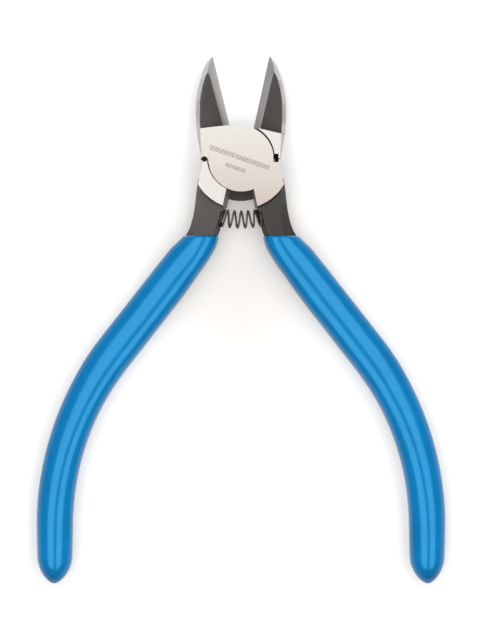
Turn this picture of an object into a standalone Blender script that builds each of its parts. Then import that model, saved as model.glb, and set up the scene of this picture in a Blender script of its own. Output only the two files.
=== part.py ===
"""Flush cut pliers lying on their back with the jaws towards +Y, standing fully open.

All lengths here are millimetres; mesh_object turns them into metres. The origin is on the pivot axis, at
the flat back face of the head. The front half carries the left jaw and the right handle, and the rear half
the right jaw and the left handle. Shapes are described for the right side and mirrored with side = -1.
"""

import math

import bmesh
import bpy
from mathutils import Matrix, Vector

MM = 0.001
RIGHT = 1
LEFT = -1
RUNNING_GAP = 0.04
SEAT_GAP = 0.01
PIECE_GAP = 0.3
OVERSHOOT = 1.0

# Head: half width against Y, from the start of the handles to the tip of the jaws.
HEAD_THICKNESS = 9.0
HEAD_HALF_WIDTH = [
    (-7.0, 10.5),
    (-3.7, 9.85),
    (-2.2, 9.45),
    (-0.8, 9.3),
    (0.6, 9.6),
    (4.5, 10.35),
    (8.3, 10.8),
    (11.2, 10.95),
    (14.0, 10.8),
    (16.9, 10.35),
    (19.8, 9.6),
    (22.8, 8.5),
    (24.8, 7.05),
]
DISC_RADIUS = 7.85
DISC_RECESS_RADIUS = 8.15
REAR_RECESS_CENTRE = (-0.02, 0.18)
DISC_SEGMENTS = 96
LAP_HEIGHT = 4.5
LAP_GAP = 0.16
STOP_GAP = 0.24
SIDE_STEPS = 8

# Round shoulder where the head steps down to the tangs, sloping outwards a little, and the inner
# corners of the jaw and tang blocks, which the disc's recess takes away.
SHOULDER_RADIUS = 12.0
SHOULDER_FLARE = 0.5
SHOULDER_SIDE_X = 10.39
SHOULDER_SIDE_Y = -5.85
SHOULDER_END_ANGLE = -75.0
SHOULDER_STEPS = 18
BLOCK_CORE_X = 3.0
JAW_BLOCK_CORNER = (1.5, 5.0)
TANG_BLOCK_CORNER = (1.5, -6.0)

# Rear disc flange that closes the crotch between the handles, and the pocket it turns in.
FLANGE_RADIUS = 10.0
FLANGE_RECESS_RADIUS = 10.3
FLANGE_ANGLES = (-118.0, -71.0)
FLANGE_RECESS_ANGLES = (-125.0, -38.0)
FLANGE_STEPS = 24

# Jaws
JAW_TIP_Y = 24.8
JAW_ROOT_Y = 5.0
LEFT_EDGE = (0.80, 0.2425)
RIGHT_EDGE = (1.44, 0.2177)
EDGE_LAND = 0.15
BEVEL_WIDTH = 1.58
BEVEL_SPREAD = 0.018
BEVEL_RISE = 2.0
FACET_RISE = 0.72
RIM_WIDTH = 0.95
RIM_START_WIDTH = 0.15
RIM_DROP = 1.25
RIM_STEPS = 6
FACET_END_Y = 20.2
RIDGE_FRACTION = 0.62
RIDGE_HALF_WIDTH = 0.07
JAW_STEPS = 15
JAW_STEP_CROWDING = 1.25
LEFT_STEP = [(10.0, 7.3), (2.75, 8.07)]
RIGHT_STEP = [(9.9, 6.0), (5.1, 7.1), (3.3, 7.25)]
LEFT_STEP_RUN = 0.25
RIGHT_STEP_RUN = 0.5
STEP_OVERLAP = 0.05
NOTCH_RIGHT_SIZE = (1.25, 2.0)
NOTCH_RIGHT_CENTRE = (8.38, 0.2)
NOTCH_LEFT_RADIUS = 0.68
NOTCH_LEFT_CENTRE = (-8.8, -0.05)
NOTCH_LEFT_FLOOR = 6.0
NOTCH_SEGMENTS = 20

# Handle centre line: start, heading from -Y, then (length, turn in degrees) of each stretch.
HANDLE_START = (5.86, -5.7)
HANDLE_HEADING = 12.0
HANDLE_STRETCHES = [(5.0, 0.0), (14.97, 26.0), (28.2, 0.0), (45.2, -38.0), (20.0, 0.0)]

# Tang: distance along the centre line, then inner half width, outer half width and outer draft.
TANG_SECTIONS = [
    (0.0, 3.55, 4.55, 0.4),
    (2.4, 3.52, 4.38, 0.9),
    (5.0, 3.5, 4.12, 1.45),
    (8.2, 3.55, 3.75, 1.9),
    (11.0, 3.7, 3.42, 2.2),
    (14.0, 3.7, 3.2, 2.35),
    (20.0, 3.35, 3.3, 2.1),
    (98.0, 3.1, 3.1, 1.1),
]
TANG_BACK = 1.0
TANG_FRONT = 8.0
TANG_END = 98.0
TANG_INNER_CHAMFER = 1.1
TANG_STEP = 1.5
COVERED_STEP = 14.0
COVERED_BEND_STEP = 4.6
LEFT_CROTCH_CHAMFER = 1.1
RIGHT_CROTCH_CHAMFER = 0.65
CROTCH_DEPTH = 4.0
CROTCH_WALL_START = (2.45, -7.4)
CROTCH_WALL_END = (3.45, -12.0)
CROTCH_WALL_REACH = (8.0, 4.0)

# Grips
GRIP_START = 13.3
GRIP_LENGTH = 94.0
GRIP_HEIGHT = 9.0
GRIP_CORNER = 3.2
GRIP_HALF_WIDTHS = [
    (13.3, 4.15),
    (20.0, 4.58),
    (40.0, 4.68),
    (52.0, 4.66),
    (62.0, 4.45),
    (78.0, 4.32),
    (92.0, 4.28),
    (100.0, 4.12),
    (107.0, 3.9),
]
GRIP_SLANT_LENGTH = 7.0
GRIP_SLANT_SQUEEZE = 0.6
GRIP_INNER_BULGE = 0.4
GRIP_BULGE_CENTRE = 15.5
GRIP_BULGE_REACH = 7.0
GRIP_RIM_RADIUS = 0.6
GRIP_RIM_FLAT = 0.6
GRIP_RIM_STEPS = 3
GRIP_MOUTH_LENGTH = 7.0
GRIP_MOUTH_STEP = 1.4
GRIP_STEP = 7.0
GRIP_BEND_STEP = 3.1
GRIP_END_LENGTH = 6.6
GRIP_END_STATIONS = (0.2, 0.4, 0.58, 0.73, 0.85, 0.93, 0.98, 0.995)
GRIP_END_WIDTH_CURVE = (1.8, 0.65)
GRIP_END_HEIGHT_CURVE = (2.2, 0.6)
CAVITY_OVERSHOOT = 6.0
CAVITY_END_GAP = 0.5
CORNER_STEPS = 6

# Return spring and its seats
CLOSING_HALF_ANGLE = 15.2
SPRING_SEAT = (6.47, -13.68)
SPRING_RADIUS = 2.25
SPRING_WIRE_RADIUS = 0.25
SPRING_END_PITCH = 0.7
SPRING_ACTIVE_COILS = 6.4
SPRING_STEPS_PER_TURN = 20
WIRE_SIDES = 8
SEAT_RADIUS = 2.6
SEAT_DEPTH = 5.0
SEAT_SEGMENTS = 40
PEG_SEGMENTS = 32
PEG_RADIUS = 1.3
PEG_HEIGHT = 2.0
PEG_ROOT = 1.6
PEG_TIP_CHAMFER = 0.3

# Pivot rivet: countersunk flush at the back, ending blind inside the front disc.
RIVET_RADIUS = 2.75
RIVET_HEAD_RADIUS = 3.8
RIVET_HEAD_DEPTH = 1.05
RIVET_TOP = 7.6
RIVET_POCKET_TOP = 7.9
RIVET_SEGMENTS = 64

FACET_ANGLE = 30.0
ROUND_ANGLE = 55.0

GROUND_STEEL = ((0.66, 0.64, 0.60), 0.32, 1.0)
DARK_STEEL = ((0.10, 0.10, 0.11), 0.38, 1.0)
BLUE_PLASTIC = ((0.0, 0.19, 0.55), 0.22, 0.0)


def clear_scene():
    for obj in list(bpy.data.objects):
        bpy.data.objects.remove(obj, do_unlink=True)


def material(name, colour, roughness, metallic):
    made = bpy.data.materials.new(name)
    made.use_nodes = True
    shader = made.node_tree.nodes["Principled BSDF"]
    shader.inputs["Base Color"].default_value = (*colour, 1.0)
    shader.inputs["Roughness"].default_value = roughness
    shader.inputs["Metallic"].default_value = metallic
    return made


def mesh_object(name, points, faces):
    """A closed mesh object from points in millimetres."""
    mesh = bpy.data.meshes.new(name)
    mesh.from_pydata([tuple(MM * c for c in point) for point in points], [], faces)
    shape = bmesh.new()
    shape.from_mesh(mesh)
    bmesh.ops.recalc_face_normals(shape, faces=shape.faces)
    shape.to_mesh(mesh)
    shape.free()
    obj = bpy.data.objects.new(name, mesh)
    bpy.context.scene.collection.objects.link(obj)
    return obj


def loft(name, rings):
    """A solid through rings of equal point count, with a flat cap at each end."""
    count = len(rings[0])
    points = [point for ring in rings for point in ring]
    faces = [list(range(count)), list(range(len(points) - count, len(points)))]
    for row in range(len(rings) - 1):
        for i in range(count):
            j = (i + 1) % count
            low = row * count
            high = low + count
            faces.append([low + i, low + j, high + j, high + i])
    return mesh_object(name, points, faces)


def prism(name, outline, low, high):
    return loft(name, [[(x, y, z) for x, y in outline] for z in (low, high)])


def lathe(name, profile, segments, frame):
    """A round solid from (radius, height) pairs, turned about the frame's Z axis."""
    rings = []
    for radius, height in profile:
        ring = []
        for i in range(segments):
            turn = 2 * math.pi * i / segments
            ring.append(frame @ Vector((radius * math.cos(turn), radius * math.sin(turn), height)))
        rings.append(ring)
    return loft(name, rings)


def cut(obj, tool):
    combine(obj, tool, "DIFFERENCE")


def join(obj, tool):
    combine(obj, tool, "UNION")


def combine(obj, tool, operation):
    tool.hide_render = True
    tool.display_type = "WIRE"
    step = obj.modifiers.new(f"{operation.lower()} {tool.name}", "BOOLEAN")
    step.operation = operation
    step.solver = "EXACT"
    step.object = tool


def mirrored(points, side):
    return [(side * x, y) for x, y in points]


def arc(radius, start, end, steps):
    """Points of a circle about the origin, between two angles in degrees."""
    angles = [math.radians(start + (end - start) * i / steps) for i in range(steps + 1)]
    return [(radius * math.cos(a), radius * math.sin(a)) for a in angles]


def smooth(table, at, column=1):
    """Value of a smooth curve through the table's rows."""
    rows = [(row[0], row[column]) for row in table]
    at = min(max(at, rows[0][0]), rows[-1][0])
    i = max(k for k in range(len(rows) - 1) if rows[k][0] <= at)
    (x0, y0), (x1, y1) = rows[i], rows[i + 1]
    before = rows[max(i - 1, 0)]
    after = rows[min(i + 2, len(rows) - 1)]
    span = x1 - x0
    slope0 = (y1 - before[1]) / (x1 - before[0])
    slope1 = (after[1] - y0) / (after[0] - x0)
    t = (at - x0) / span
    rise = y1 - y0
    bend0 = slope0 * span - rise
    bend1 = rise - slope1 * span
    return y0 + rise * t + t * (1 - t) * (bend0 * (1 - t) + bend1 * t)


def outer_edge(start, end, steps):
    """Points of the right side of the head, from one Y to another."""
    heights = [start + (end - start) * i / steps for i in range(steps + 1)]
    return [(smooth(HEAD_HALF_WIDTH, y), y) for y in heights]


def handle_point(distance):
    """Place and outward sideways direction on the right handle's centre line."""
    x, y = HANDLE_START
    heading = math.radians(HANDLE_HEADING)
    for length, turn in HANDLE_STRETCHES:
        done = min(distance, length)
        distance -= done
        bend = math.radians(turn) * done / length
        middle = heading + bend / 2
        chord = done if turn == 0 else 2 * math.sin(bend / 2) * length / math.radians(turn)
        x += chord * math.sin(middle)
        y -= chord * math.cos(middle)
        heading += bend
    return Vector((x, y)), heading


def handle_ring(distance, side, outline, slant=0.0):
    """A cross-section of the handle: outline holds (sideways, height) pairs."""
    place, heading = handle_point(distance)
    angle = heading - slant
    ring = []
    for across, height in outline:
        spot = place + Vector((math.cos(angle), math.sin(angle))) * across / math.cos(slant)
        ring.append((side * spot.x, spot.y, height))
    return ring


def handle_stations(start, end, straight_step, bend_step):
    """Distances along the handle after start, up to end, with a station at each join of two stretches."""
    stations = []
    join = 0.0
    for length, turn in HANDLE_STRETCHES:
        first = max(join, start)
        join += length
        last = min(join, end)
        if last > first:
            count = math.ceil((last - first) / (bend_step if turn else straight_step))
            stations += [first + (last - first) * i / count for i in range(1, count + 1)]
    return stations


def tang_outline(distance, grown=0.0):
    """Six-sided cross-section of the tang, with its walls tapering away from mid height."""
    inner = smooth(TANG_SECTIONS, distance, 1) + grown
    outer = smooth(TANG_SECTIONS, distance, 2) + grown
    draft = smooth(TANG_SECTIONS, distance, 3)
    back = TANG_BACK - grown
    front = TANG_FRONT + grown
    middle = HEAD_THICKNESS / 2
    return [
        (-inner, middle),
        (-inner + TANG_INNER_CHAMFER, front),
        (outer - draft, front),
        (outer, middle),
        (outer - draft, back),
        (-inner + TANG_INNER_CHAMFER, back),
    ]


def tang(name, side):
    stations = [0.0] + handle_stations(0.0, GRIP_START, TANG_STEP, TANG_STEP)
    stations += handle_stations(GRIP_START, TANG_END, COVERED_STEP, COVERED_BEND_STEP)
    return loft(name, [handle_ring(s, side, tang_outline(s)) for s in stations])


def jaw(name, side, cutting_edge):
    """The part of a jaw beyond the head's flat front: flush back, ground bevel, dark facet and bright rim."""
    edge_start, edge_slope = cutting_edge
    rings = []
    for i in range(JAW_STEPS + 1):
        done = 1 - (1 - i / JAW_STEPS) ** JAW_STEP_CROWDING
        y = JAW_ROOT_Y + (JAW_TIP_Y - JAW_ROOT_Y) * done
        edge = edge_start + edge_slope * y
        wall = smooth(HEAD_HALF_WIDTH, y)
        inner = edge + BEVEL_WIDTH + BEVEL_SPREAD * (y - JAW_ROOT_Y)
        outer = wall - RIM_WIDTH
        if y > FACET_END_Y or inner > outer - 2 * RIDGE_HALF_WIDTH:
            ridge = edge + RIDGE_FRACTION * (wall - edge)
            inner = ridge - RIDGE_HALF_WIDTH
            outer = ridge + RIDGE_HALF_WIDTH
        inner_height = EDGE_LAND + BEVEL_RISE * (inner - edge)
        outer_height = inner_height + FACET_RISE * (outer - inner)
        wall_height = outer_height - RIM_DROP * (wall - outer)
        section = [
            (edge, 0.0),
            (edge, EDGE_LAND),
            (inner, inner_height),
            (outer, outer_height),
            (wall, max(wall_height, 2 * EDGE_LAND)),
            (wall, 0.0),
        ]
        rings.append([(side * x, y, z) for x, z in section])
    return loft(name, rings)


def jaw_block(name, side, step, run):
    """Full-height block between the stop face and the sloping step down to the jaw's facet."""
    base = STOP_GAP / 2
    outline = [(BLOCK_CORE_X, base)]
    outline += outer_edge(base, step[0][1] + run + STEP_OVERLAP, SIDE_STEPS)
    outline += [(x, y + run) for x, y in step[:-1]]
    outline += [step[-1], JAW_BLOCK_CORNER]
    block = prism(name, mirrored(outline, side), 0.0, HEAD_THICKNESS)
    cut(block, step_tool(f"{name}_step", side, step, run))
    cut(block, rim_tool(f"{name}_rim", side, step[0][1]))
    return block


def step_tool(name, side, step, run):
    """Wedge that slopes the step, from the plateau's edge down to mid height."""
    (x0, y0), (x1, y1) = step[0], step[1]
    slope = (y1 - y0) / (x1 - x0)
    rise = run / LAP_HEIGHT
    rings = []
    for x in (x0 + 2 * OVERSHOOT, step[-1][0] - OVERSHOOT):
        y = y0 + slope * (x - x0)
        low = (y + run + rise * OVERSHOOT, HEAD_THICKNESS - LAP_HEIGHT - OVERSHOOT)
        high = (y - rise * OVERSHOOT, HEAD_THICKNESS + OVERSHOOT)
        far = (y + 4 * OVERSHOOT, HEAD_THICKNESS + OVERSHOOT)
        foot = (y + 4 * OVERSHOOT, HEAD_THICKNESS - LAP_HEIGHT - OVERSHOOT)
        rings.append([(side * x, *corner) for corner in (low, high, far, foot)])
    return loft(name, rings)


def rim_tool(name, side, top):
    """Wedge that slopes the outer front edge of a jaw block, wider towards the jaw."""
    rings = []
    for i in range(RIM_STEPS + 1):
        y = -OVERSHOOT + (top + 2 * OVERSHOOT) * i / RIM_STEPS
        wall = smooth(HEAD_HALF_WIDTH, y)
        width = RIM_START_WIDTH + (RIM_WIDTH - RIM_START_WIDTH) * min(max(y / top, 0.0), 1.0)
        reach = OVERSHOOT / RIM_DROP
        section = [
            (wall - width - reach, HEAD_THICKNESS + OVERSHOOT),
            (wall + reach, HEAD_THICKNESS - RIM_DROP * width - OVERSHOOT),
            (wall + reach, HEAD_THICKNESS + OVERSHOOT),
        ]
        rings.append([(side * x, y, z) for x, z in section])
    return loft(name, rings)


def shoulder_outline(radius):
    """Outline of the block below the stop face, out to a shoulder of this radius."""
    base = -STOP_GAP / 2
    start_angle = -math.degrees(math.acos(SHOULDER_SIDE_X / radius))
    outline = [(BLOCK_CORE_X, base)] + outer_edge(base, SHOULDER_SIDE_Y, SIDE_STEPS)
    outline += arc(radius, start_angle, SHOULDER_END_ANGLE, SHOULDER_STEPS)
    return outline + [TANG_BLOCK_CORNER]


def tang_block(name, side, chamfer):
    """Block below the stop face, out to the flared shoulder, with a tapering crotch wall."""
    foot = SHOULDER_RADIUS + SHOULDER_FLARE
    flare_height = HEAD_THICKNESS - TANG_FRONT + SEAT_GAP
    rings = []
    for radius, height in (
        (SHOULDER_RADIUS, 0.0),
        (foot, flare_height),
        (foot, HEAD_THICKNESS - flare_height),
        (SHOULDER_RADIUS, HEAD_THICKNESS),
    ):
        outline = mirrored(shoulder_outline(radius), side)
        rings.append([(x, y, height) for x, y in outline])
    block = loft(name, rings)
    start = Vector(CROTCH_WALL_START)
    end = Vector(CROTCH_WALL_END)
    along = (end - start).normalized()
    across = Vector((-along.y, along.x))
    taper = chamfer * (1 + OVERSHOOT / LAP_HEIGHT)
    section = [
        (-CROTCH_DEPTH, -OVERSHOOT),
        (taper, -OVERSHOOT),
        (0.0, HEAD_THICKNESS / 2),
        (taper, HEAD_THICKNESS + OVERSHOOT),
        (-CROTCH_DEPTH, HEAD_THICKNESS + OVERSHOOT),
    ]
    rings = []
    for place in (start - CROTCH_WALL_REACH[0] * along, end + CROTCH_WALL_REACH[1] * along):
        ring = []
        for sideways, height in section:
            spot = place + across * sideways
            ring.append((side * spot.x, spot.y, height))
        rings.append(ring)
    cut(block, loft(f"{name}_crotch_wall", rings))
    return block


def disc(name, radius, low, high):
    return prism(name, arc(radius, 0.0, 360.0, DISC_SEGMENTS)[:-1], low, high)


def sector(name, radius, angles, low, high):
    return prism(name, [(0.0, 0.0)] + arc(radius, angles[0], angles[1], FLANGE_STEPS), low, high)


def seat_frame(side):
    """Frame at the bottom of a spring seat, with Z pointing out of the seat."""
    angle = math.radians(CLOSING_HALF_ANGLE)
    outward = Vector((-side * math.cos(angle), -math.sin(angle), 0.0))
    turn = outward.to_track_quat("Z", "Y").to_matrix().to_4x4()
    place = Vector((side * SPRING_SEAT[0], SPRING_SEAT[1], HEAD_THICKNESS / 2))
    return Matrix.Translation(place) @ turn


def cut_spring_seat(lever, side):
    bore = PEG_RADIUS + SEAT_GAP
    profile = [
        (bore, -PEG_ROOT - SEAT_GAP),
        (bore, 0.0),
        (SEAT_RADIUS, 0.0),
        (SEAT_RADIUS, SEAT_DEPTH),
    ]
    cut(lever, lathe(f"{lever.name}_spring_seat", profile, SEAT_SEGMENTS, seat_frame(side)))


def rivet_profile(gap, low, high):
    return [
        (RIVET_HEAD_RADIUS + gap, low),
        (RIVET_HEAD_RADIUS + gap, 0.0),
        (RIVET_RADIUS + gap, RIVET_HEAD_DEPTH),
        (RIVET_RADIUS + gap, high),
    ]


def front_lever():
    """Left jaw, front disc and right tang, forged in one."""
    lever = jaw_block("front_lever", LEFT, LEFT_STEP, LEFT_STEP_RUN)
    join(lever, jaw("front_jaw", LEFT, LEFT_EDGE))
    join(lever, tang_block("front_tang_block", RIGHT, RIGHT_CROTCH_CHAMFER))
    join(lever, tang("front_tang", RIGHT))
    top = LAP_HEIGHT + LAP_GAP / 2
    recess = DISC_RECESS_RADIUS
    cut(lever, disc("front_recess", recess, -OVERSHOOT, top))
    flange = FLANGE_RECESS_RADIUS
    cut(lever, sector("front_flange_recess", flange, FLANGE_RECESS_ANGLES, -OVERSHOOT, top))
    join(lever, disc("front_disc", DISC_RADIUS, top, HEAD_THICKNESS))
    width, height = NOTCH_RIGHT_SIZE
    cut(lever, right_notch("front_notch", width / 2, height / 2, top))
    cut(lever, left_notch("front_left_notch"))
    pocket = [(RIVET_RADIUS + SEAT_GAP, 0.0), (RIVET_RADIUS + SEAT_GAP, RIVET_POCKET_TOP)]
    cut(lever, lathe("front_rivet_pocket", pocket, RIVET_SEGMENTS, Matrix()))
    cut_spring_seat(lever, RIGHT)
    return lever


def rear_lever():
    """Right jaw, rear disc and left tang, forged in one."""
    lever = jaw_block("rear_lever", RIGHT, RIGHT_STEP, RIGHT_STEP_RUN)
    join(lever, jaw("rear_jaw", RIGHT, RIGHT_EDGE))
    join(lever, tang_block("rear_tang_block", LEFT, LEFT_CROTCH_CHAMFER))
    join(lever, tang("rear_tang", LEFT))
    top = LAP_HEIGHT - LAP_GAP / 2
    recess = disc("rear_recess", DISC_RECESS_RADIUS, top, HEAD_THICKNESS + OVERSHOOT)
    recess.location = [MM * c for c in (*REAR_RECESS_CENTRE, 0.0)]
    cut(lever, recess)
    join(lever, disc("rear_disc", DISC_RADIUS, 0.0, top))
    join(lever, sector("rear_flange", FLANGE_RADIUS, FLANGE_ANGLES, 0.0, top))
    width, height = NOTCH_RIGHT_SIZE
    cut(lever, right_notch("rear_notch", width, height, top))
    cut(lever, left_notch("rear_left_notch"))
    profile = rivet_profile(RUNNING_GAP, -OVERSHOOT, HEAD_THICKNESS)
    cut(lever, lathe("rear_rivet_hole", profile, RIVET_SEGMENTS, Matrix()))
    cut_spring_seat(lever, LEFT)
    return lever


def right_notch(name, inward, downward, floor):
    """Square relief at the right end of the stop, reaching inward and downward from its centre."""
    width, height = NOTCH_RIGHT_SIZE
    x, y = NOTCH_RIGHT_CENTRE
    left, right = x - inward, x + width / 2
    low, high = y - downward, y + height / 2
    corners = [(left, low), (right, low), (right, high), (left, high)]
    return prism(name, corners, floor, HEAD_THICKNESS + OVERSHOOT)


def left_notch(name):
    """Round relief at the left end of the stop, where the two halves meet."""
    top = HEAD_THICKNESS + OVERSHOOT
    profile = [(NOTCH_LEFT_RADIUS, NOTCH_LEFT_FLOOR), (NOTCH_LEFT_RADIUS, top)]
    place = Matrix.Translation(Vector((*NOTCH_LEFT_CENTRE, 0.0)))
    return lathe(name, profile, NOTCH_SEGMENTS, place)


def pivot_rivet():
    profile = rivet_profile(0.0, 0.0, RIVET_TOP)[1:]
    return lathe("pivot_rivet", profile, RIVET_SEGMENTS, Matrix())


def spring_peg(name, side):
    profile = [
        (PEG_RADIUS, -PEG_ROOT),
        (PEG_RADIUS, PEG_HEIGHT - PEG_TIP_CHAMFER),
        (PEG_RADIUS - PEG_TIP_CHAMFER, PEG_HEIGHT),
    ]
    return lathe(name, profile, PEG_SEGMENTS, seat_frame(side))


def return_spring():
    """Compression spring on a gently arched axis, each end seated square on its pocket floor."""
    half_angle = math.radians(CLOSING_HALF_ANGLE)
    arch = SPRING_SEAT[0] / math.sin(half_angle)
    centre_y = SPRING_SEAT[1] + arch * math.cos(half_angle)
    coil_radius = SPRING_RADIUS - SPRING_WIRE_RADIUS
    length = 2 * arch * half_angle - 2 * (SPRING_WIRE_RADIUS + SEAT_GAP)
    active_pitch = (length - 2 * SPRING_END_PITCH) / SPRING_ACTIVE_COILS
    turns = SPRING_ACTIVE_COILS + 2
    steps = round(turns * SPRING_STEPS_PER_TURN)
    middle = HEAD_THICKNESS / 2
    centres = []
    for i in range(steps + 1):
        turn = turns * i / steps
        along = SPRING_END_PITCH * min(turn, 1.0)
        along += active_pitch * min(max(turn - 1.0, 0.0), SPRING_ACTIVE_COILS)
        along += SPRING_END_PITCH * max(turn - 1.0 - SPRING_ACTIVE_COILS, 0.0)
        swing = (along - length / 2) / arch
        radius = arch - coil_radius * math.sin(2 * math.pi * turn)
        height = middle + coil_radius * math.cos(2 * math.pi * turn)
        x = radius * math.sin(swing)
        centres.append(Vector((x, centre_y - radius * math.cos(swing), height)))
    rings = []
    for i, centre in enumerate(centres):
        ahead = (centres[min(i + 1, steps)] - centres[max(i - 1, 0)]).normalized()
        swing = math.atan2(centre.x, centre_y - centre.y)
        x = arch * math.sin(swing)
        on_axis = Vector((x, centre_y - arch * math.cos(swing), middle))
        across = ahead.cross(centre - on_axis).normalized()
        outward = across.cross(ahead)
        ring = []
        for k in range(WIRE_SIDES):
            turn = 2 * math.pi * k / WIRE_SIDES
            offset = outward * math.cos(turn) + across * math.sin(turn)
            ring.append(centre + SPRING_WIRE_RADIUS * offset)
        rings.append(ring)
    return loft("return_spring", rings)


def rounded_outline(half_width, half_height, corner, middle):
    """Rounded rectangle as (sideways, height) pairs."""
    corner = min(corner, half_width, half_height)
    points = []
    for quarter, (across, up) in enumerate([(1, 1), (-1, 1), (-1, -1), (1, -1)]):
        for i in range(CORNER_STEPS + 1):
            turn = math.pi / 2 * (quarter + i / CORNER_STEPS)
            x = across * (half_width - corner) + corner * math.cos(turn)
            z = middle + up * (half_height - corner) + corner * math.sin(turn)
            points.append((x, z))
    return points


def bulged(outline, distance):
    """The outline with its inner side fuller near the mouth, where the vinyl gathers."""
    away = min(abs(distance - GRIP_BULGE_CENTRE) / GRIP_BULGE_REACH, 1.0)
    bulge = GRIP_INNER_BULGE * (1 - away) ** 2
    widest = max(-x for x, _ in outline)
    return [(x * (1 + bulge / widest) if x < 0 else x, z) for x, z in outline]


def grip(name, side):
    """Moulded sleeve: a long rounded bar with a blunt end, hollow where the tang goes in."""
    body_end = GRIP_START + GRIP_LENGTH - GRIP_END_LENGTH
    mouth_end = GRIP_START + GRIP_MOUTH_LENGTH
    middle = GRIP_HEIGHT / 2
    stations = [(GRIP_START, GRIP_RIM_FLAT * GRIP_RIM_RADIUS)]
    for i in range(1, GRIP_RIM_STEPS + 1):
        turn = math.pi / 2 * i / GRIP_RIM_STEPS
        place = GRIP_START + GRIP_RIM_RADIUS * (1 - math.cos(turn))
        stations.append((place, GRIP_RIM_RADIUS * (1 - math.sin(turn))))
    lengths = handle_stations(GRIP_START, mouth_end, GRIP_MOUTH_STEP, GRIP_MOUTH_STEP)
    lengths += handle_stations(mouth_end, body_end, GRIP_STEP, GRIP_BEND_STEP)
    stations += [(s, 0.0) for s in lengths]
    rings = []
    for s, inset in stations:
        slant_left = max(1 - (s - GRIP_START) / GRIP_SLANT_LENGTH, 0.0)
        slant = handle_point(s)[1] * slant_left
        half = smooth(GRIP_HALF_WIDTHS, s) * math.cos(slant) ** GRIP_SLANT_SQUEEZE - inset
        outline = rounded_outline(half, middle - inset, GRIP_CORNER - inset, middle)
        rings.append(handle_ring(s, side, bulged(outline, s), slant))
    for t in GRIP_END_STATIONS:
        s = body_end + GRIP_END_LENGTH * t
        power, root = GRIP_END_WIDTH_CURVE
        half = smooth(GRIP_HALF_WIDTHS, s) * (1 - t**power) ** root
        power, root = GRIP_END_HEIGHT_CURVE
        tall = middle * (1 - t**power) ** root
        rings.append(handle_ring(s, side, rounded_outline(half, tall, GRIP_CORNER, middle)))
    sleeve = loft(name, rings)
    start = GRIP_START - CAVITY_OVERSHOOT
    lengths = [start] + handle_stations(start, GRIP_START, TANG_STEP, TANG_STEP)
    lengths += handle_stations(GRIP_START, TANG_END, COVERED_STEP, COVERED_BEND_STEP)
    lengths += [TANG_END + CAVITY_END_GAP]
    rings = [handle_ring(s, side, tang_outline(s, PIECE_GAP)) for s in lengths]
    cut(sleeve, loft(f"{name}_cavity", rings))
    return sleeve


def finish(obj, made, angle=FACET_ANGLE):
    """Gives the object its material and smooths its round faces."""
    obj.data.materials.append(made)
    for polygon in obj.data.polygons:
        polygon.use_smooth = True
    obj.data.set_sharp_from_angle(angle=math.radians(angle))


def main():
    clear_scene()
    ground = material("ground_steel", *GROUND_STEEL)
    dark = material("dark_steel", *DARK_STEEL)
    blue = material("blue_plastic", *BLUE_PLASTIC)
    for lever in (front_lever(), rear_lever()):
        finish(lever, ground)
    finish(pivot_rivet(), dark)
    finish(return_spring(), dark, ROUND_ANGLE)
    finish(spring_peg("spring_peg_right", RIGHT), dark)
    finish(spring_peg("spring_peg_left", LEFT), dark)
    finish(grip("grip_right", RIGHT), blue, ROUND_ANGLE)
    finish(grip("grip_left", LEFT), blue, ROUND_ANGLE)


main()
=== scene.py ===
"""Looks of the flush cut pliers: ground and oxidised steel halves, coil spring and glossy blue sleeves.

Lengths here are millimetres, turned into metres by MM where Blender takes them. Angles are degrees.
"""

import math

import bmesh
import bpy
from mathutils import Matrix, Vector

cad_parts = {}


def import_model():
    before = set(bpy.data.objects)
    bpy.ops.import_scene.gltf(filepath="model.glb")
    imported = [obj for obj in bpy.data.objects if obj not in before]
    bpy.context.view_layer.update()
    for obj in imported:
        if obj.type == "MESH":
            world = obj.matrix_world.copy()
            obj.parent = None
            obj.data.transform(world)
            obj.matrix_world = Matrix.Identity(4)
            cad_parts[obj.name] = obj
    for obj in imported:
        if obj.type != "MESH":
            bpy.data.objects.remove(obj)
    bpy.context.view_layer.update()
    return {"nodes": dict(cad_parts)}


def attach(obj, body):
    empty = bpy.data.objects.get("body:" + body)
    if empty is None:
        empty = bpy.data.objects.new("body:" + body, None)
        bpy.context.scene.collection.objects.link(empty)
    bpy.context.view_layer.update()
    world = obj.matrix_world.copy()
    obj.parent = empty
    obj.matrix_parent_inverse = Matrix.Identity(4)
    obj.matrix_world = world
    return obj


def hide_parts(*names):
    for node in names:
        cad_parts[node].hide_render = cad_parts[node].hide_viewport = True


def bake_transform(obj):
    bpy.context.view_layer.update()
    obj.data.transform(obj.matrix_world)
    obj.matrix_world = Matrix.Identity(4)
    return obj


MM = 0.001
RIGHT = 1
LEFT = -1

HEAD_THICKNESS = 9.0

# Levers: size of their rounded edges, the distance and the angle under which the CAD's facets merge,
# the angles over which an edge is rounded or shaded sharp, and the normal's Z over which a face is flat.
EDGE_ROUNDING = 0.11
ROUNDING_STEPS = 2
WELD = 0.02
MERGE_ANGLE = 1.5
ROUNDED_FROM = 30.0
SHARP_FROM = 35.0
FLAT = 0.9995

# Right handle's centre line: start, heading, and stretches as (length, turn).
HANDLE_START = (5.86, -5.7)
HANDLE_HEADING = 12.0
HANDLE_STRETCHES = [(5.0, 0.0), (14.97, 26.0), (28.2, 0.0), (45.2, -38.0), (20.0, 0.0)]

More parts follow.
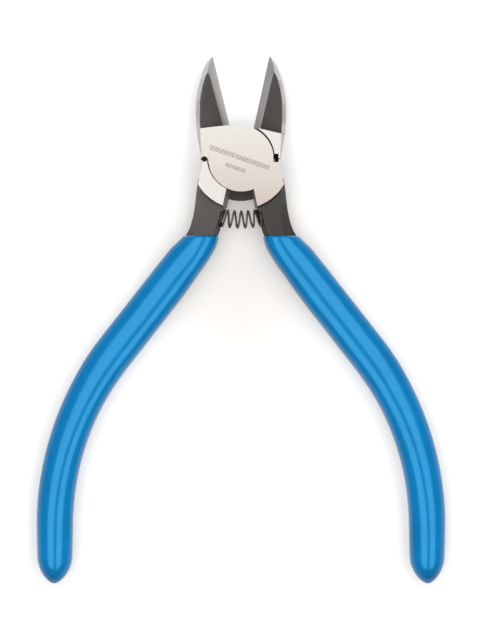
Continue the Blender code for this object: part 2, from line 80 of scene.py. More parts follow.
# Sleeve, by distance along that line. Its skin is the room that it leaves inside the CAD box.
GRIP_START = 13.3
GRIP_LENGTH = 94.0
GRIP_HEIGHT = 9.0
GRIP_WALL = 0.95
GRIP_SKIN = 0.02
GRIP_SIDES = 64
GRIP_STEPS = 72
GRIP_SMOOTH_UNDER = 60.0
GRIP_ROUNDNESS = 0.86
GRIP_HALF_WIDTHS = [
    (13.3, 4.15),
    (20.0, 4.58),
    (40.0, 4.68),
    (52.0, 4.66),
    (62.0, 4.45),
    (78.0, 4.32),
    (92.0, 4.28),
    (100.0, 4.12),
    (107.3, 3.9),
]

# Its crest leans to the inner side by this much, and stands upright from the end of the fade.
GRIP_CREST = 2.0
GRIP_CREST_FADE = (60.0, 95.0)

# Its inner side bulges at one place and is fuller from another.
GRIP_INNER_BULGE = 0.4
GRIP_BULGE_CENTRE = 15.5
GRIP_BULGE_REACH = 7.0
GRIP_FULLNESS = 0.38
GRIP_FULL_FROM = 19.0
GRIP_FULL_OVER = 9.0

# Its mouth is cut square to the tool's length, not to the handle, and rolls into the bore. The bore
# is given as (depth, place where the rolled mouth ends).
GRIP_SLANT_LENGTH = 7.0
GRIP_SLANT_NARROWING = 0.6
GRIP_BORE = (5.0, 0.6)
GRIP_MOUTH_ROUNDING = 0.75
GRIP_BORE_ROUNDING = 0.3
GRIP_MOUTH_STEPS = 8
GRIP_MOUTH_END = 1.2

# Its blunt end: (power along, power across) of the rounding seen from above and from the side.
GRIP_END_LENGTH = 6.6
GRIP_END_STEPS = 14
GRIP_END_REACH = 0.99
GRIP_END_PLAN = (1.95, 0.62)
GRIP_END_SIDE = (2.2, 0.6)

# Kinds of face on a lever, in the order of its materials.
GROUND, BEVEL, RIM, TANG, CROTCH_WALL, SEAT, FACET, CROTCH, DRAFT = range(9)

# Where those kinds lie, and how far the normals of their faces lean.
SURFACE_DEPTH = 0.1
LEVEL = 0.9
JAW_BOTTOM = -0.5
RIM_INSIDE = 9.9
RIM_LEAN = 0.3
FACET_TOP = 20.7
BEVEL_BOTTOM = 7.5
BEVEL_LEAN = 0.6
CROTCH_WALL_REACH = 4.5
CROTCH_WALL_SPAN = (-12.6, -7.0)
CROTCH_WALL_LEAN = 0.6
CROTCH_REACH = 4.0
CROTCH_BOTTOM = -11.0
DRAFT_LEAN = 0.2
SEAT_REACH = 3.1

# Blocks in painted shade colour that stand in for the shadow in the stop's gap under the notches, as
# (middle, size), and the size, height and turn of the painted-shade plate low in front of each spring
# seat.
STOP_SHADE_BLOCKS = {
    LEFT: ((-8.95, 0.05, 3.1), (1.5, 0.3, 5.6)),
    RIGHT: ((8.575, 0.05, 2.3), (0.95, 0.3, 4.0)),
}
SEAT_SHADE_PLATE = (2.3, 4.8, 0.5)
SEAT_SHADE_PLATE_HEIGHT = 1.3
SEAT_SHADE_PLATE_TURN = 17.6

# Spring: its seat in the right handle's tang and the seat's tilt, its coils, and where its bend lies.
SPRING_SEAT = (6.47, -13.68)
SPRING_TILT = 15.2
SPRING_RADIUS = 2.25
WIRE_RADIUS = 0.25
END_PITCH = 0.7
ACTIVE_COILS = 6.4
SPRING_CLEARANCE = 0.01
SPRING_STEPS = 36
SPRING_SMOOTH_UNDER = 60.0
WIRE_SIDES = 12

# Ground steel: its scratches and clouds, their shares of its tone, the places of the dark and the
# light colour in that tone, and how far its roughness goes up and down from the middle.
SCRATCH_STRETCH = (60.0, 2600.0, 60.0)
SCRATCH_SCALE = 5.0
SCRATCH_DEPTH = 0.02
CLOUD_SCALE = 90.0
GROUND_SHARES = (0.55, 0.4)
GROUND_LIFT = 0.22
GROUND_PLACES = (0.45, 0.85)
GROUND_ROUGHNESS = (0.07, -0.05)
GROUND_BUMP = 0.12

# Disc steel: the same, and the span over which a painted light gradient lifts its tone from the handles to
# the jaws.
DISC_GRAIN_TURN = 14.0
DISC_SCRATCH_SCALE = 4.0
DISC_SHARES = (0.12, 0.16)
DISC_ROUGHNESS = (0.278, 0.262)
DISC_BUMP = 0.01
PAINTED_LIGHT_SPAN = (-10.0, 8.0)
PAINTED_LIGHT_RISE = 0.8

# Blackened steel: its pits and rubbed patches, in the same terms.
PIT_SCALE = 2600.0
PIT_DEPTH = 0.04
PATCH_SCALE = 130.0
OXIDE_SHARES = (0.35, 0.65)
OXIDE_CONTRAST = (0.82, 1.22)
OXIDE_PLACES = (0.32, 0.72)
OXIDE_ROUGHNESS = (0.12, -0.1)
OXIDE_METAL = 0.35

# Two etched bars, in a frame turned along them, as (centre, half length and half width). Their hatch
# runs by (along, across), waves by (scale, amount), and darkens by a level range over a sine range.
ETCH_TURN = 19.5
ETCH_BARS = [((-0.39, 0.17), (7.7, 0.66)), ((-0.51, -2.48), (2.6, 0.55))]
ETCH_EDGE = 0.15
ETCH_HATCH = (8.0, -2.8)
ETCH_WAVE = (1.1, 9.0)
ETCH_LEVELS = (0.3, 0.9)
ETCH_SINES = (-0.5, 0.7)
ETCH_UNDER_FACE = (0.2, 0.1)
ETCH_COLOUR = (0.2, 0.185, 0.17, 1.0)

# Vinyl: its waves and flecks, their shares of its tone and their bumps, its colours and its gloss, and
# where painted shade darkens its ends.
WAVE_SCALE = 110.0
WAVE_DEPTH = 0.25
FLECK_SCALE = 1500.0
FLECK_DEPTH = 0.02
VINYL_SHARES = (0.7, 0.3)
VINYL_BUMPS = (0.25, 0.05)
VINYL_ROUGHNESS = (0.09, 0.15)
VINYL_REFRACTION = 1.46
VINYL_GLOSS = 0.9
VINYL_STOPS = [(0.0, (0.0, 0.05, 0.165)), (0.3, (0.0, 0.104, 0.272)), (0.7, (0.0, 0.132, 0.335))]
VINYL_SHEEN = (0.18, 0.72, 1.0, 1.0)
GRIP_TIP_SHADE_SPAN = (-101.0, -95.5)
GRIP_TIP_PAINTED_SHADE = 0.4

# Floor: half its width, its height, and its colour from the middle of a pool of painted shade between the
# handles outwards.
FLOOR_HALF = 3000.0
FLOOR_HEIGHT = -0.02
FLOOR_PAINTED_SHADE_CENTRE = (0.0, -24.0)
FLOOR_PAINTED_SHADE_REACH = (27.0, 36.0)
FLOOR_PAINTED_SHADES = [(0.0, (0.352, 0.34, 0.33)), (0.45, (0.385, 0.37, 0.356)), (1.0, (0.445, 0.445, 0.445))]
# The floor glows with its own painted light, which keeps the shadows on it pale.
FLOOR_PAINTED_GLOW = 0.75

# Tent light: its level by the sideways angle from overhead, the angles from overhead over which it
# fades to the dark level, and its lean.
TENT_LEVELS = [(0.0, 0.22), (4.0, 0.22), (6.5, 1.0), (30.0, 0.95), (41.0, 0.13), (90.0, 0.1)]
TENT_FADE = (52.0, 44.0)
TENT_DARK = 0.13
TENT_STRENGTH = 3.7
TENT_LEAN = (3.0, -3.0, 0.0)

# Camera: its distance over the head and its far limit are metres.
CAMERA_DISTANCE = 1.6
CAMERA_LIMIT = 10.0
VIEW_CENTRE = (-0.24, -38.7)
VIEW_HEIGHT = 153.6
SENSOR = 36.0


def material(name):
    """A new node material with its node tree and its Principled shader."""
    made = bpy.data.materials.new(name)
    made.use_nodes = True
    tree = made.node_tree
    return made, tree, tree.nodes["Principled BSDF"]


def node(tree, kind, **values):
    made = tree.nodes.new(kind)
    for key, value in values.items():
        setattr(made, key, value)
    return made


def mapped(tree, scale=(1.0, 1.0, 1.0), turn=0.0):
    """Object coordinates, turned about Z and stretched."""
    place = node(tree, "ShaderNodeTexCoord")
    mapping = node(tree, "ShaderNodeMapping")
    mapping.inputs["Scale"].default_value = scale
    mapping.inputs["Rotation"].default_value = (0.0, 0.0, math.radians(turn))
    tree.links.new(place.outputs["Object"], mapping.inputs["Vector"])
    return mapping.outputs["Vector"]


def separated(tree, vector):
    """X, Y and Z of a vector."""
    split = node(tree, "ShaderNodeSeparateXYZ")
    tree.links.new(vector, split.inputs["Vector"])
    return [split.outputs[axis] for axis in "XYZ"]


def noise(tree, vector, scale, detail=4.0, roughness=0.55):
    made = node(tree, "ShaderNodeTexNoise")
    made.inputs["Scale"].default_value = scale
    made.inputs["Detail"].default_value = detail
    made.inputs["Roughness"].default_value = roughness
    tree.links.new(vector, made.inputs["Vector"])
    return made.outputs["Fac"]


def ramp(tree, source, stops):
    """Colour ramp over (position, colour) stops."""
    made = node(tree, "ShaderNodeValToRGB")
    band = made.color_ramp
    while len(band.elements) < len(stops):
        band.elements.new(0.5)
    for element, (position, colour) in zip(band.elements, stops):
        element.position = position
        element.color = (*colour, 1.0)
    tree.links.new(source, made.inputs["Fac"])
    return made.outputs["Color"]


def ranged(tree, source, low, high, start=0.0, end=1.0):
    """A value that goes from low to high while the source goes from start to end."""
    made = node(tree, "ShaderNodeMapRange")
    made.inputs["From Min"].default_value = start
    made.inputs["From Max"].default_value = end
    made.inputs["To Min"].default_value = low
    made.inputs["To Max"].default_value = high
    tree.links.new(source, made.inputs["Value"])
    return made.outputs["Result"]


def bump(tree, height, strength, depth, below=None):
    """A surface roughened by a height, laid over the bump below it."""
    made = node(tree, "ShaderNodeBump")
    made.inputs["Strength"].default_value = strength
    made.inputs["Distance"].default_value = depth * MM
    tree.links.new(height, made.inputs["Height"])
    if below is not None:
        tree.links.new(below, made.inputs["Normal"])
    return made.outputs["Normal"]


def math_node(tree, operation, first, second=None, value=None):
    made = node(tree, "ShaderNodeMath", operation=operation)
    tree.links.new(first, made.inputs[0])
    if second is not None:
        tree.links.new(second, made.inputs[1])
    if value is not None:
        made.inputs[1].default_value = value
    return made.outputs["Value"]


def scaled(tree, source, share):
    return math_node(tree, "MULTIPLY", source, value=share)


def weighted(tree, first, second, shares):
    """Sum of two values, each by its share."""
    return math_node(tree, "ADD", scaled(tree, first, shares[0]), scaled(tree, second, shares[1]))


def within(tree, source, middle, half):
    """1 within a band round the middle and 0 past it, with a soft edge."""
    away = math_node(tree, "ABSOLUTE", math_node(tree, "SUBTRACT", source, value=middle))
    return ranged(tree, away, 1.0, 0.0, half - ETCH_EDGE, half)


def etched(tree):
    """How deep a spot lies in one of two slanted hatched bars on the front face, from 0 to 1."""
    place = mapped(tree, (1 / MM, 1 / MM, 1 / MM), ETCH_TURN)
    along, across, height = separated(tree, place)
    depth = None
    for (x, y), (half_length, half_width) in ETCH_BARS:
        in_width = within(tree, across, y, half_width)
        inside = math_node(tree, "MULTIPLY", in_width, within(tree, along, x, half_length))
        depth = inside if depth is None else math_node(tree, "MAXIMUM", depth, inside)
    lines = weighted(tree, along, across, ETCH_HATCH)
    waves = scaled(tree, noise(tree, place, ETCH_WAVE[0], 2.0), ETCH_WAVE[1])
    sine = math_node(tree, "SINE", math_node(tree, "ADD", lines, waves))
    hatch = ranged(tree, sine, *ETCH_LEVELS, *ETCH_SINES)
    start, end = [HEAD_THICKNESS - under for under in ETCH_UNDER_FACE]
    on_face = ranged(tree, height, 0.0, 1.0, start, end)
    return math_node(tree, "MULTIPLY", math_node(tree, "MULTIPLY", depth, hatch), on_face)


def marked(tree, colour):
    """A colour with the etched bars over it."""
    blend = node(tree, "ShaderNodeMix", data_type="RGBA")
    tree.links.new(etched(tree), blend.inputs["Factor"])
    tree.links.new(colour, blend.inputs["A"])
    blend.inputs["B"].default_value = ETCH_COLOUR
    return blend.outputs["Result"]


def disc_steel(name, stops, etch):
    """Flat-ground head steel: fine scratches, and a painted light gradient that turns it darker towards
    the handles.
    """
    made, tree, shader = material(name)
    scratches = noise(tree, mapped(tree, SCRATCH_STRETCH, DISC_GRAIN_TURN), DISC_SCRATCH_SCALE, 3.0)
    clouds = noise(tree, mapped(tree), CLOUD_SCALE, 3.0)
    # Painted light gradient: the tone rises from the handles to the jaws.
    start, end = [place * MM for place in PAINTED_LIGHT_SPAN]
    painted_light = ranged(tree, separated(tree, mapped(tree))[1], 0.0, PAINTED_LIGHT_RISE, start, end)
    mixed = math_node(tree, "ADD", painted_light, weighted(tree, scratches, clouds, DISC_SHARES))
    colour = ramp(tree, mixed, stops)
    if etch:
        colour = marked(tree, colour)
    tree.links.new(colour, shader.inputs["Base Color"])
    tree.links.new(ranged(tree, scratches, *DISC_ROUGHNESS), shader.inputs["Roughness"])
    tree.links.new(bump(tree, scratches, DISC_BUMP, SCRATCH_DEPTH), shader.inputs["Normal"])
    shader.inputs["Metallic"].default_value = 1.0
    return made


def ground_steel(name, light, dark, roughness, grain_turn):
    """Flat-ground steel: fine parallel scratches over a faint cloudiness."""
    made, tree, shader = material(name)
    scratches = noise(tree, mapped(tree, SCRATCH_STRETCH, grain_turn), SCRATCH_SCALE, 3.0)
    clouds = noise(tree, mapped(tree), CLOUD_SCALE, 3.0)
    mixed = math_node(tree, "ADD", weighted(tree, scratches, clouds, GROUND_SHARES), value=GROUND_LIFT)
    rough, fine = [roughness + change for change in GROUND_ROUGHNESS]
    colour = ramp(tree, mixed, list(zip(GROUND_PLACES, (dark, light))))
    tree.links.new(colour, shader.inputs["Base Color"])
    tree.links.new(ranged(tree, mixed, rough, fine), shader.inputs["Roughness"])
    tree.links.new(bump(tree, scratches, GROUND_BUMP, SCRATCH_DEPTH), shader.inputs["Normal"])
    shader.inputs["Metallic"].default_value = 1.0
    return made


def oxide_steel(name, colour, roughness=0.55, pitting=0.35):
    """Blackened forging: dull, slightly brown, with a fine pitted grain and rubbed lighter patches."""
    made, tree, shader = material(name)
    place = mapped(tree)
    grain = noise(tree, place, PIT_SCALE, 5.0, 0.65)
    mixed = weighted(tree, grain, noise(tree, place, PATCH_SCALE), OXIDE_SHARES)
    colours = [[contrast * c for c in colour] for contrast in OXIDE_CONTRAST]
    rough, fine = [roughness + change for change in OXIDE_ROUGHNESS]
    tree.links.new(ramp(tree, mixed, list(zip(OXIDE_PLACES, colours))), shader.inputs["Base Color"])
    tree.links.new(ranged(tree, mixed, rough, fine), shader.inputs["Roughness"])
    tree.links.new(bump(tree, grain, pitting, PIT_DEPTH), shader.inputs["Normal"])
    shader.inputs["Metallic"].default_value = OXIDE_METAL
    return made


def blue_vinyl():
    """Glossy dipped vinyl: deep saturated blue with slow waviness and tiny flecks, and painted shade at
    its ends.
    """
    made, tree, shader = material("blue_vinyl")
    place = mapped(tree)
    waves = noise(tree, place, WAVE_SCALE, 2.0)
    flecks = noise(tree, place, FLECK_SCALE, 3.0)
    # Painted shade: the base colour darkens towards each sleeve's blunt end.
    start, end = [y * MM for y in GRIP_TIP_SHADE_SPAN]
    tip_shade = ranged(tree, separated(tree, place)[1], GRIP_TIP_PAINTED_SHADE, 0.0, start, end)
    toned = math_node(tree, "SUBTRACT", weighted(tree, waves, flecks, VINYL_SHARES), tip_shade)
    tree.links.new(ramp(tree, toned, VINYL_STOPS), shader.inputs["Base Color"])
    tree.links.new(ranged(tree, flecks, *VINYL_ROUGHNESS), shader.inputs["Roughness"])
    shape = bump(tree, waves, VINYL_BUMPS[0], WAVE_DEPTH)
    tree.links.new(bump(tree, flecks, VINYL_BUMPS[1], FLECK_DEPTH, shape), shader.inputs["Normal"])
    shader.inputs["IOR"].default_value = VINYL_REFRACTION
    shader.inputs["Specular IOR Level"].default_value = VINYL_GLOSS
    shader.inputs["Specular Tint"].default_value = VINYL_SHEEN
    return made


def floor_white_painted_shade():
    """White floor that glows a little, a painted light that keeps shadows pale, with a painted pool of
    shade between the handles.
    """
    made, tree, shader = material("floor_white_painted_shade")
    shifts = [-centre / reach for centre, reach in zip(FLOOR_PAINTED_SHADE_CENTRE, FLOOR_PAINTED_SHADE_REACH)]
    place = node(tree, "ShaderNodeTexCoord")
    painted_pool = node(tree, "ShaderNodeMapping")
    painted_pool.inputs["Scale"].default_value = [1 / (reach * MM) for reach in FLOOR_PAINTED_SHADE_REACH] + [0.0]
    painted_pool.inputs["Location"].default_value = shifts + [0.0]
    distance = node(tree, "ShaderNodeVectorMath", operation="LENGTH")
    tree.links.new(place.outputs["Object"], painted_pool.inputs["Vector"])
    tree.links.new(painted_pool.outputs["Vector"], distance.inputs[0])
    # Painted shade: a darker pool between the handles, in both the floor's colour and its glow.
    colour = ramp(tree, distance.outputs["Value"], FLOOR_PAINTED_SHADES)
    tree.links.new(colour, shader.inputs["Base Color"])
    tree.links.new(colour, shader.inputs["Emission Color"])
    shader.inputs["Roughness"].default_value = 0.5
    shader.inputs["Emission Strength"].default_value = FLOOR_PAINTED_GLOW
    return made


def link(obj):
    bpy.context.scene.collection.objects.link(obj)
    return obj


def mesh_object(name, points, faces):
    """A closed mesh object from points in millimetres."""
    mesh = bpy.data.meshes.new(name)
    mesh.from_pydata([tuple(MM * c for c in point) for point in points], [], faces)
    shape = bmesh.new()
    shape.from_mesh(mesh)
    bmesh.ops.recalc_face_normals(shape, faces=shape.faces)
    shape.to_mesh(mesh)
    shape.free()
    return link(bpy.data.objects.new(name, mesh))


def loft(name, rings):
    """A solid through rings of equal point count, with flat end caps."""
    count = len(rings[0])
    points = [point for ring in rings for point in ring]
    faces = [list(range(count)), list(range(len(points) - count, len(points)))]
    for low in range(0, len(points) - count, count):
        for i in range(count):
            j = (i + 1) % count
            faces.append([low + i, low + j, low + count + j, low + count + i])
    return mesh_object(name, points, faces)


def smooth(table, at):
    """Value of a smooth curve through (place, value) rows."""
    at = min(max(at, table[0][0]), table[-1][0])
    i = max(k for k in range(len(table) - 1) if table[k][0] <= at)
    (x0, y0), (x1, y1) = table[i], table[i + 1]
    before = table[max(i - 1, 0)]
    after = table[min(i + 2, len(table) - 1)]
    span = x1 - x0
    slope0 = (y1 - before[1]) / (x1 - before[0])
    slope1 = (after[1] - y0) / (after[0] - x0)
    t = (at - x0) / span
    rise = y1 - y0
    bend0 = slope0 * span - rise
    bend1 = rise - slope1 * span
    return y0 + rise * t + t * (1 - t) * (bend0 * (1 - t) + bend1 * t)


def handle_point(distance):
    """Place and heading on the right handle's centre line."""
    x, y = HANDLE_START
    heading = math.radians(HANDLE_HEADING)
    for length, turn in HANDLE_STRETCHES:
        done = min(distance, length)
        distance -= done
        bend = math.radians(turn) * done / length
        middle = heading + bend / 2
        chord = done if turn == 0 else 2 * math.sin(bend / 2) * length / math.radians(turn)
        x += chord * math.sin(middle)
        y -= chord * math.cos(middle)
        heading += bend
    return Vector((x, y)), heading


def handle_ring(distance, side, outline, slant=0.0):
    """An outline of (across, height) points set across a handle."""
    place, heading = handle_point(distance)
    angle = heading - slant
    ring = []
    for across, height in outline:
        spot = place + Vector((math.cos(angle), math.sin(angle))) * across / math.cos(slant)
        ring.append((side * spot.x, spot.y, height))
    return ring


def grip_outline(half_width, half_height, distance):
    """Flattened oval whose crest leans to the inner side, fuller on that side near the mouth."""
    start, end = GRIP_CREST_FADE
    crest = GRIP_CREST * min(max((end - distance) / (end - start), 0.0), 1.0)
    away = min(abs(distance - GRIP_BULGE_CENTRE) / GRIP_BULGE_REACH, 1.0)
    grown = min(max((distance - GRIP_FULL_FROM) / GRIP_FULL_OVER, 0.0), 1.0)
    rounded_off = min(half_width / GRIP_HALF_WIDTHS[-1][1], 1.0)
    bulge = GRIP_INNER_BULGE * (1 - away) ** 2 + GRIP_FULLNESS * grown * rounded_off
    points = []
    for i in range(GRIP_SIDES):
        turn = 2 * math.pi * i / GRIP_SIDES
        x, z = [math.copysign(abs(c) ** GRIP_ROUNDNESS, c) for c in (math.cos(turn), math.sin(turn))]
        x_side = (half_width + bulge if x < 0 else half_width) * x
        lean = crest * half_width / GRIP_HEIGHT * (1 - x * x) * abs(z)
        points.append((x_side - lean, GRIP_HEIGHT / 2 + half_height * z))
    return points


def mouth_stations():
    """(Distance, inset) up the bore, round the rolled mouth and onto the outside."""
    depth, land = GRIP_BORE
    stations = [(GRIP_START + depth, GRIP_WALL), (GRIP_START + land, GRIP_WALL)]
    for i in range(1, GRIP_MOUTH_STEPS + 1):
        turn = math.pi * (i / GRIP_MOUTH_STEPS - 0.5)
        rise = 1 - math.cos(turn)
        if turn > 0:
            inset = GRIP_MOUTH_ROUNDING * (1 - math.sin(turn))
            stations.append((GRIP_START + GRIP_MOUTH_ROUNDING * rise, inset))
        else:
            inset = GRIP_MOUTH_ROUNDING + (GRIP_WALL - GRIP_MOUTH_ROUNDING) * rise
            stations.append((GRIP_START + GRIP_BORE_ROUNDING * rise, inset))
    return stations


def grip(name, side, made):
    """Blue sleeve over a handle, with a rolled mouth round the tang and a blunt end."""
    body_start = GRIP_START + GRIP_MOUTH_END
    body_end = GRIP_START + GRIP_LENGTH - GRIP_END_LENGTH
    step = (body_end - body_start) / GRIP_STEPS
    body = [(body_start + step * i, 0.0) for i in range(GRIP_STEPS + 1)]
    rings = []
    for s, inset in mouth_stations() + body:
        slant = handle_point(s)[1] * max(1 - max(s - GRIP_START, 0.0) / GRIP_SLANT_LENGTH, 0.0)
        half = smooth(GRIP_HALF_WIDTHS, s) * math.cos(slant) ** GRIP_SLANT_NARROWING - inset - GRIP_SKIN
        rings.append(handle_ring(s, side, grip_outline(half, GRIP_HEIGHT / 2 - inset, s), slant))
    for i in range(1, GRIP_END_STEPS + 1):
        t = GRIP_END_REACH * math.sin(math.pi / 2 * i / GRIP_END_STEPS)
        wide, tall = [(1 - t**along) ** across for along, across in (GRIP_END_PLAN, GRIP_END_SIDE)]
        s = body_end + GRIP_END_LENGTH * t
        half = smooth(GRIP_HALF_WIDTHS, s) * wide - GRIP_SKIN
        rings.append(handle_ring(s, side, grip_outline(half, GRIP_HEIGHT / 2 * tall, s)))
    sleeve = loft(name, rings)
    finish_surface(sleeve, [made], GRIP_SMOOTH_UNDER)
    return sleeve


def finish_surface(obj, materials, angle):
    """Give an object its materials, and shade it smooth but for edges over an angle."""
    for made in materials:
        obj.data.materials.append(made)
    for polygon in obj.data.polygons:
        polygon.use_smooth = True
    obj.data.set_sharp_from_angle(angle=math.radians(angle))


def lever(name, source, materials, jaw_side):
    """A half of the pliers with rounded edges, and its ground, bevelled and blackened faces told apart."""
    obj = link(bpy.data.objects.new(name, source.data.copy()))
    obj.data.materials.clear()
    shape = bmesh.new()
    shape.from_mesh(obj.data)
    bmesh.ops.remove_doubles(shape, verts=shape.verts, dist=WELD * MM)
    merged = math.radians(MERGE_ANGLE)
    bmesh.ops.dissolve_limit(shape, angle_limit=merged, verts=shape.verts, edges=shape.edges)
    split_faces(shape, (0.0, FACET_TOP, 0.0), (0.0, 1.0, 0.0))
    split_faces(shape, (jaw_side * RIM_INSIDE, 0.0, 0.0), (1.0, 0.0, 0.0))
    for face in shape.faces:
        face.material_index = lever_face_kind(face, jaw_side)
    add_shade_block(shape, *STOP_SHADE_BLOCKS[jaw_side])
    add_seat_shade_plate(shape, jaw_side)
    shape.to_mesh(obj.data)
    shape.free()
    rounding = obj.modifiers.new("rounded edges", "BEVEL")
    rounding.width = EDGE_ROUNDING * MM
    rounding.segments = ROUNDING_STEPS
    rounding.limit_method = "ANGLE"
    rounding.angle_limit = math.radians(ROUNDED_FROM)
    rounding.use_clamp_overlap = True
    rounding.harden_normals = True
    finish_surface(obj, materials, SHARP_FROM)
    for polygon in obj.data.polygons:
        polygon.use_smooth = abs(polygon.normal.z) < FLAT
    return obj


def split_faces(shape, place, normal):
    """Cut the faces that cross a plane in two, for their materials."""
    parts = [*shape.verts, *shape.edges, *shape.faces]
    bmesh.ops.bisect_plane(shape, geom=parts, plane_co=Vector(place) * MM, plane_no=normal)


def add_shade_block(shape, middle, size, turn=0.0):
    """Block in painted shade colour that hides a sliver of gap, turned about Z."""
    made = bmesh.ops.create_cube(shape, size=1.0)["verts"]
    turned = Matrix.Rotation(math.radians(turn), 3, "Z")
    bmesh.ops.scale(shape, vec=Vector(size) * MM, verts=made)
    bmesh.ops.rotate(shape, cent=(0.0, 0.0, 0.0), matrix=turned, verts=made)
    bmesh.ops.translate(shape, vec=Vector(middle) * MM, verts=made)
    for face in {face for vert in made for face in vert.link_faces}:
        face.material_index = SEAT


def add_seat_shade_plate(shape, jaw_side):
    """Plate in painted shade colour low in front of the spring's seat in this half's tang."""
    turn = math.radians(SEAT_SHADE_PLATE_TURN)
    half = SEAT_SHADE_PLATE[0] / 2
    x = jaw_side * (math.cos(turn) * half - SPRING_SEAT[0])
    y = SPRING_SEAT[1] - math.sin(turn) * half
    add_shade_block(shape, (x, y, SEAT_SHADE_PLATE_HEIGHT), SEAT_SHADE_PLATE, -jaw_side * SEAT_SHADE_PLATE_TURN)


def lever_face_kind(face, jaw_side):
    """Kind of a face, by where it lies and which way it looks."""
    centre = face.calc_center_median() / MM
    seat = Vector((-jaw_side * SPRING_SEAT[0], SPRING_SEAT[1], HEAD_THICKNESS / 2))
    # Faces round the spring's seat get painted shade, standing in for the shadow in the seat's recess.
    if (centre - seat).length < SEAT_REACH:
        return SEAT
    near_surface = centre.z > HEAD_THICKNESS - SURFACE_DEPTH or centre.z < SURFACE_DEPTH
    if near_surface and abs(face.normal.z) > LEVEL:
        return GROUND
    outward = face.normal.x * jaw_side
    on_jaw = centre.x * jaw_side > 0 and centre.y > JAW_BOTTOM
    if on_jaw and (outward > RIM_LEAN or abs(centre.x) > RIM_INSIDE):
        return RIM
    if on_jaw and (centre.y > FACET_TOP or centre.y > BEVEL_BOTTOM and outward < -BEVEL_LEAN):
        return BEVEL
    low, high = CROTCH_WALL_SPAN
    upright = abs(face.normal.x) > CROTCH_WALL_LEAN
    if abs(centre.x) < CROTCH_WALL_REACH and low < centre.y < high and upright:
        return CROTCH_WALL
    if on_jaw:
        return FACET
    # Faces round the crotch get a darker steel, painted shade for the hollow.
    if abs(centre.x) < CROTCH_REACH and centre.y > CROTCH_BOTTOM:
        return CROTCH
    return DRAFT if outward < -DRAFT_LEAN else TANG


def return_spring(made):
    """Compression spring on a gently arched axis, its ends seated in the two tangs."""
    half_angle = math.radians(SPRING_TILT)
    arch = SPRING_SEAT[0] / math.sin(half_angle)
    centre_y = SPRING_SEAT[1] + arch * math.cos(half_angle)
    coil_radius = SPRING_RADIUS - WIRE_RADIUS
    length = 2 * arch * half_angle - 2 * (WIRE_RADIUS + SPRING_CLEARANCE)
    pitch = (length - 2 * END_PITCH) / ACTIVE_COILS
    turns = ACTIVE_COILS + 2
    steps = round(turns * SPRING_STEPS)
    centres = []
    for i in range(steps + 1):
        turn = turns * i / steps
        along = END_PITCH * min(turn, 1.0)
        along += pitch * min(max(turn - 1.0, 0.0), ACTIVE_COILS)
        along += END_PITCH * max(turn - 1.0 - ACTIVE_COILS, 0.0)
        swing = (along - length / 2) / arch
        radius = arch - coil_radius * math.sin(2 * math.pi * turn)
        height = HEAD_THICKNESS / 2 + coil_radius * math.cos(2 * math.pi * turn)
        centres.append(Vector((radius * math.sin(swing), centre_y - radius * math.cos(swing), height)))
    rings = []
    for i, centre in enumerate(centres):
        ahead = (centres[min(i + 1, steps)] - centres[max(i - 1, 0)]).normalized()
        swing = math.atan2(centre.x, centre_y - centre.y)
        middle = Vector((arch * math.sin(swing), centre_y - arch * math.cos(swing), HEAD_THICKNESS / 2))
        across = ahead.cross(centre - middle).normalized()
        outward = across.cross(ahead)
        ring = []
        for k in range(WIRE_SIDES):
            turn = 2 * math.pi * k / WIRE_SIDES
            ring.append(centre + WIRE_RADIUS * (outward * math.cos(turn) + across * math.sin(turn)))
        rings.append(ring)
    spring = loft("spring_coil", rings)
    finish_surface(spring, [made], SPRING_SMOOTH_UNDER)
    return spring


def floor():
    corners = [(-1, -1), (1, -1), (1, 1), (-1, 1)]
    points = [(x * FLOOR_HALF, y * FLOOR_HALF, FLOOR_HEIGHT) for x, y in corners]
    obj = mesh_object("floor", points, [[0, 1, 2, 3]])
    obj.data.materials.append(floor_white_painted_shade())


def studio():
    """Light tent: two bright side walls with a dark gap overhead, fading to the dark level lower down."""
    world = bpy.data.worlds.new("studio")
    world.use_nodes = True
    tree = world.node_tree
    place = node(tree, "ShaderNodeTexCoord")
    lean = node(tree, "ShaderNodeMapping")
    lean.inputs["Rotation"].default_value = [math.radians(a) for a in TENT_LEAN]
    tree.links.new(place.outputs["Generated"], lean.inputs["Vector"])
    across, _, height = separated(tree, lean.outputs["Vector"])
    sideways = math_node(tree, "ABSOLUTE", across)
    stops = [(math.sin(math.radians(angle)), (level, level, level)) for angle, level in TENT_LEVELS]
    walls = ramp(tree, sideways, stops)
    low, high = [math.cos(math.radians(angle)) for angle in TENT_FADE]
    overhead = ranged(tree, height, 0.0, 1.0, low, high)
    tent = math_node(tree, "MAXIMUM", math_node(tree, "MULTIPLY", walls, overhead), value=TENT_DARK)
    tree.links.new(tent, tree.nodes["Background"].inputs["Color"])
    tree.nodes["Background"].inputs["Strength"].default_value = TENT_STRENGTH
    bpy.context.scene.world = world


def camera():
    data = bpy.data.cameras.new("camera")
    data.sensor_width = SENSOR
    data.lens = SENSOR * CAMERA_DISTANCE / (VIEW_HEIGHT * MM)
    data.clip_end = CAMERA_LIMIT
    obj = link(bpy.data.objects.new("camera", data))
    obj.location = (VIEW_CENTRE[0] * MM, VIEW_CENTRE[1] * MM, HEAD_THICKNESS * MM + CAMERA_DISTANCE)
    bpy.context.scene.camera = obj


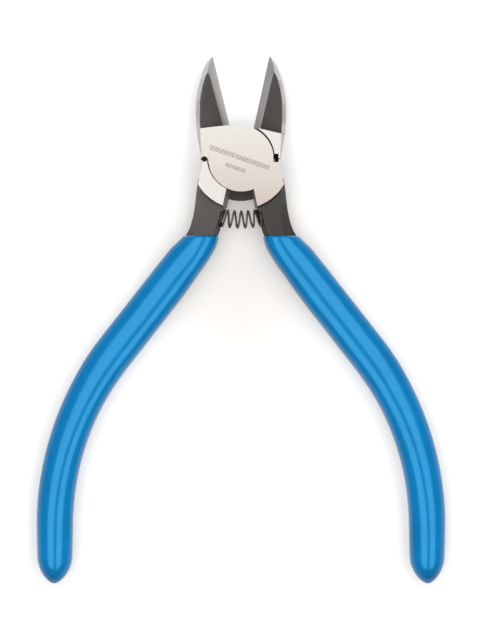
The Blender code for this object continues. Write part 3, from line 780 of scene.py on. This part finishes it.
def lever_finishes():
    """Each half's materials, in the order of the kinds of face."""
    low = (0.314, 0.277, 0.252)
    high = (0.4, 0.386, 0.365)
    front_stops = [(0.1, low), (0.55, (0.37, 0.345, 0.318)), (0.95, high)]
    front_ground = disc_steel("front_ground_steel", front_stops, etch=True)
    rear_stops = [(0.1, (0.385, 0.367, 0.345)), (0.95, high)]
    rear_ground = disc_steel("rear_ground_steel", rear_stops, etch=False)
    front_bevel = ground_steel("front_bevel_steel", (0.45, 0.435, 0.415), (0.36, 0.35, 0.335), 0.42, 75.0)
    rear_bevel = ground_steel("rear_bevel_steel", (0.31, 0.3, 0.29), (0.25, 0.245, 0.235), 0.42, 105.0)
    rim = ground_steel("rim_steel", (0.57, 0.555, 0.535), (0.49, 0.48, 0.465), 0.38, 80.0)
    # Lit and shaded copies of one blackened steel: each tang, and the left tang's draft, is toned for how
    # light falls on it.
    left_tang_painted_light = oxide_steel("left_tang_painted_light_steel", (0.034, 0.029, 0.027))
    left_draft_painted_light = oxide_steel("left_draft_painted_light_steel", (0.062, 0.056, 0.054))
    right_tang_painted_shade = oxide_steel("right_tang_painted_shade_steel", (0.019, 0.0145, 0.012), 0.6)
    facet = oxide_steel("facet_steel", (0.058, 0.049, 0.047))
    # Painted shade: darker steel for the hollow round the crotch.
    dark = oxide_steel("dark_steel", (0.02, 0.0125, 0.009), 0.6, 0.3)
    scuffed = oxide_steel("scuffed_steel", (0.19, 0.165, 0.145), 0.5, 0.3)
    # Painted shade for the spring seats' recesses and for the blocks in the gaps.
    seat = oxide_steel("seat_painted_shade_steel", (0.012, 0.01, 0.01), 0.6, 0.3)
    front = [front_ground, front_bevel, rim, right_tang_painted_shade, scuffed, seat, facet, dark, right_tang_painted_shade]
    rear = [rear_ground, rear_bevel, rim, left_tang_painted_light, scuffed, seat, facet, dark, left_draft_painted_light]
    return {"front": front, "rear": rear}


def main():
    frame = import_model()
    nodes = frame["nodes"]
    finishes = lever_finishes()
    for side, body, jaw_side in (("front", "front_half", LEFT), ("rear", "rear_half", RIGHT)):
        made = lever(f"{side}_lever_ground", nodes[f"{side}_lever"], finishes[side], jaw_side)
        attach(made, body)
        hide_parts(f"{side}_lever")
    vinyl = blue_vinyl()
    for label, side, body in (("right", RIGHT, "front_half"), ("left", LEFT, "rear_half")):
        sleeve = grip(f"sleeve_{label}", side, vinyl)
        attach(sleeve, body)
        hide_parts(f"grip_{label}")
    wire = oxide_steel("spring_wire", (0.075, 0.065, 0.06), 0.42, 0.1)
    spring = return_spring(wire)
    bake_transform(spring)
    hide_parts("return_spring")
    pin = ground_steel("pin_steel", (0.44, 0.42, 0.395), (0.38, 0.365, 0.34), 0.27, 45.0)
    for name, made in (("pivot_rivet", pin), ("spring_peg_left", wire), ("spring_peg_right", wire)):
        nodes[name].data.materials.clear()
        nodes[name].data.materials.append(made)
    floor()
    studio()
    camera()
    bpy.context.scene.view_settings.view_transform = "Standard"


main()
